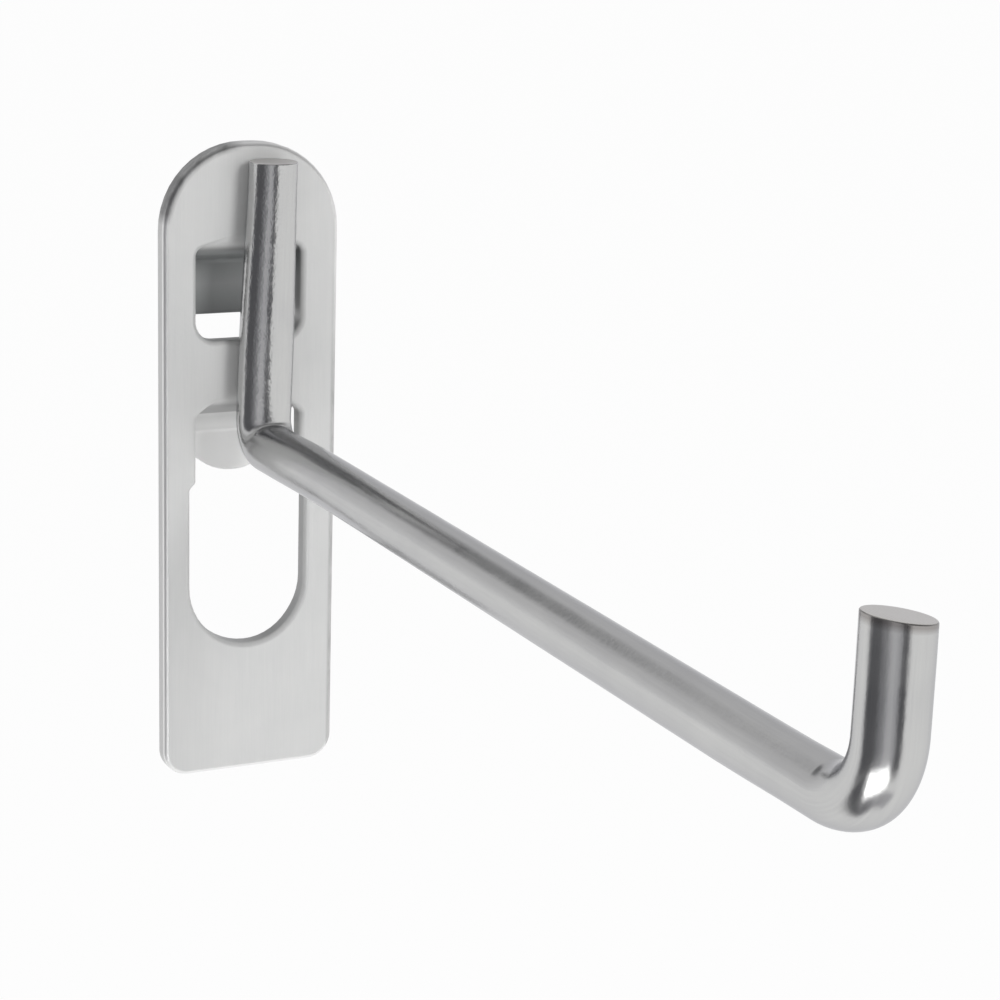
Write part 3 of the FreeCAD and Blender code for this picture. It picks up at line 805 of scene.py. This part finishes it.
def floor_white():
    """White to the camera and in reflections. What is left of the white share is the floor's own shade,
    which keeps the object's shadow."""
    white_share = 0.96
    material = bpy.data.materials.new("floor_white")
    material.use_nodes = True
    tree = material.node_tree
    shader = tree.nodes["Principled BSDF"]
    shader.inputs["Base Color"].default_value = grey(0.93)
    shader.inputs["Roughness"].default_value = 0.9
    rays = node(tree, "LightPath").outputs
    mirrored = maths(tree, "MAXIMUM", rays["Is Glossy Ray"], rays["Is Transmission Ray"])
    seen = maths(tree, "MAXIMUM", rays["Is Camera Ray"], mirrored)
    white = node(tree, "Emission", (), Color=grey(1), Strength=1.0).outputs[0]
    mix = node(tree, "MixShader", (), Fac=times(tree, seen, white_share), i1=shader.outputs[0], i2=white)
    tree.links.new(mix.outputs[0], tree.nodes["Material Output"].inputs["Surface"])
    return material


floor_radius, floor_height = 14.0, -0.22
floor_mesh = bmesh.new()
bmesh.ops.create_circle(floor_mesh, cap_ends=True, segments=64, radius=floor_radius,
                        matrix=Matrix.Translation((0, 0, floor_height)))
stage_object("floor", floor_mesh, floor_white())

camera_place = point(-114.74, -310.42, 67.13)
yaw = math.radians(26.286)
pitch = math.radians(14.482)
tilt = math.radians(1.833)


def card_glow(name, middle_y, first, last, profile, shades):
    """The card's own light: shades along its sweep, fading to white at its foot so that no edge shows."""
    material = bpy.data.materials.new(name)
    material.use_nodes = True
    tree = material.node_tree
    apart = node(tree, "SeparateXYZ", (), Vector=node(tree, "TexCoord").outputs["Object"]).outputs
    from_x = times(tree, apart["X"], -1.0)
    from_y = maths(tree, "SUBTRACT", middle_y, apart["Y"])
    angle = maths(tree, "SUBTRACT", maths(tree, "ARCTAN2", from_x, from_y), yaw)
    swept = rising(tree, angle, (math.radians(first), math.radians(last)))
    stops = [((at - first) / (last - first), grey(shade, 1.08 - 0.08 * shade)) for at, shade in shades]
    distance = maths(tree, "SQRT", plus(tree, times(tree, from_x, from_x), times(tree, from_y, from_y)))
    foot_band = (profile[-1][0], profile[-2][0])
    foot_share = falling(tree, distance, foot_band)
    colour = mixed(tree, ramp(tree, swept, stops, "EASE"), grey(1), foot_share)
    glow = node(tree, "Emission", (), Color=colour, Strength=1.0)
    tree.links.new(glow.outputs[0], tree.nodes["Material Output"].inputs["Surface"])
    return material


def card(name, middle_y, first, last, profile, shades):
    """A curved studio card around a middle, seen only in reflections. Angles are degrees to the left of the
    camera, seen from there. The profile is (distance, height) from its top to its foot, and shades are
    (angle, brightness)."""
    steps_in_card = 48
    bm = bmesh.new()
    centre = Vector((0, middle_y, 0))
    turned = yaw + math.radians(first)
    away = Vector((-math.sin(turned), -math.cos(turned), 0))
    vert = None
    for distance, height in profile:
        place = centre + away * distance + Vector((0, 0, height))
        if vert is None:
            vert = bmesh.ops.create_vert(bm, co=place)["vert"][0]
        else:
            vert = bmesh.ops.extrude_vert_indiv(bm, verts=[vert])["verts"][0]
            vert.co = place
    bmesh.ops.spin(bm, geom=list(bm.verts) + list(bm.edges), cent=centre, axis=(0, 0, -1),
                   dvec=(0, 0, 0), angle=math.radians(last - first), steps=steps_in_card)
    obj = stage_object(name, bm, card_glow(name, middle_y, first, last, profile, shades))
    obj.visible_camera = False
    obj.visible_shadow = False
    obj.visible_diffuse = False


card("grey_card", -0.07, -34, 94,
     [(0.6, 0.45), (0.6, -0.06), (0.56, -0.15), (0.46, -0.20), (0.36, -0.212), (0.24, -0.216)],
     [(-34, 0.95), (-26, 0.12), (-18, 0.12), (-8, 0.5), (6, 0.6), (28, 0.26), (46, 0.12), (76, 0.12),
      (88, 0.85), (94, 0.9)])
card("left_foot", -0.15, 58, 104,
     [(0.32, -0.212), (0.07, -0.214), (0.04, -0.216)],
     [(58, 0.9), (68, 0.14), (90, 0.12), (104, 0.9)])
card("near_foot", -0.15, -62, 74,
     [(0.125, -0.210), (0.06, -0.212), (0.04, -0.214)],
     [(-62, 0.9), (-44, 0.5), (20, 0.4), (60, 0.18), (74, 0.3)])


def room_shades(tree, height, shades):
    """Shades of the room from the horizon, 0, to straight up, 1."""
    return ramp(tree, height, [(at, grey(shade, 1.01)) for at, shade in shades], "EASE")


# The room: pale all round the horizon, paler behind the object, and darker above and in front of it
world = bpy.data.worlds.new("studio")
bpy.context.scene.world = world
world.use_nodes = True
tree = world.node_tree
facing = node(tree, "TexCoord").outputs["Generated"]
east, north, height = node(tree, "SeparateXYZ", (), Vector=facing).outputs
above = rising(tree, height, (0.0, 1.0))
front_room = room_shades(tree, above, [(0, 0.95), (0.22, 0.65), (0.36, 0.22), (0.80, 0.22), (1, 0.5)])
back_room = room_shades(tree, above, [(0, 0.90), (0.12, 0.80), (0.30, 0.70), (0.70, 0.68), (1, 0.5)])
room = mixed(tree, front_room, back_room, rising(tree, north, (-0.25, 0.25)))
# A dark doorway high up behind the object, which the top of the arm shows as a stripe
doorway = times(tree, rising(tree, east, (-0.36, -0.2)), falling(tree, east, (0.05, 0.25)),
                rising(tree, north, (0.80, 0.87)), rising(tree, height, (0.30, 0.40)))
doorway_shade = (0.15, 0.15, 0.155, 1)
background = tree.nodes["Background"]
tree.links.new(mixed(tree, room, doorway_shade, doorway), background.inputs["Color"])
background.inputs["Strength"].default_value = 1.0


def soft_lamp(name, place, aim, width, height, watts):
    lamp = bpy.data.lights.new(name, "AREA")
    lamp.shape = "RECTANGLE"
    lamp.size = width
    lamp.size_y = height
    lamp.energy = watts
    obj = bpy.data.objects.new(name, lamp)
    obj.location = place
    obj.rotation_euler = (Vector(aim) - Vector(place)).to_track_quat("-Z", "Y").to_euler()
    obj.visible_camera = False
    bpy.context.scene.collection.objects.link(obj)
    return obj


# The right lamp lights the plate without a glint, and the low one makes the highlight in the tip's bend.
right_softbox = soft_lamp("right_softbox", (0.2, -0.8, 0.38), (0, -0.05, -0.02), 0.25, 0.25, 3.7)
right_softbox.visible_glossy = False
soft_lamp("low_softbox", (-0.135, -0.256, -0.188), (-0.001, -0.1515, -0.0055), 0.22, 0.10, 0.14)

ahead = Vector((math.sin(yaw) * math.cos(pitch), math.cos(yaw) * math.cos(pitch), -math.sin(pitch)))
right = Vector((math.cos(yaw), -math.sin(yaw), 0))
up = right.cross(ahead)
across = math.cos(tilt) * right + math.sin(tilt) * up
upward = -math.sin(tilt) * right + math.cos(tilt) * up
camera_data = bpy.data.cameras.new("camera")
camera_data.lens = 90.48
camera_data.sensor_width = 36
camera_data.clip_start = 0.01
camera = bpy.data.objects.new("camera", camera_data)
turn = Matrix((across, upward, -ahead)).transposed()
camera.matrix_world = Matrix.Translation(camera_place) @ turn.to_4x4()
bpy.context.scene.collection.objects.link(camera)
bpy.context.scene.camera = camera
bpy.context.scene.view_settings.view_transform = "Standard"

size["scene"] = [list(corner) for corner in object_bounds()]
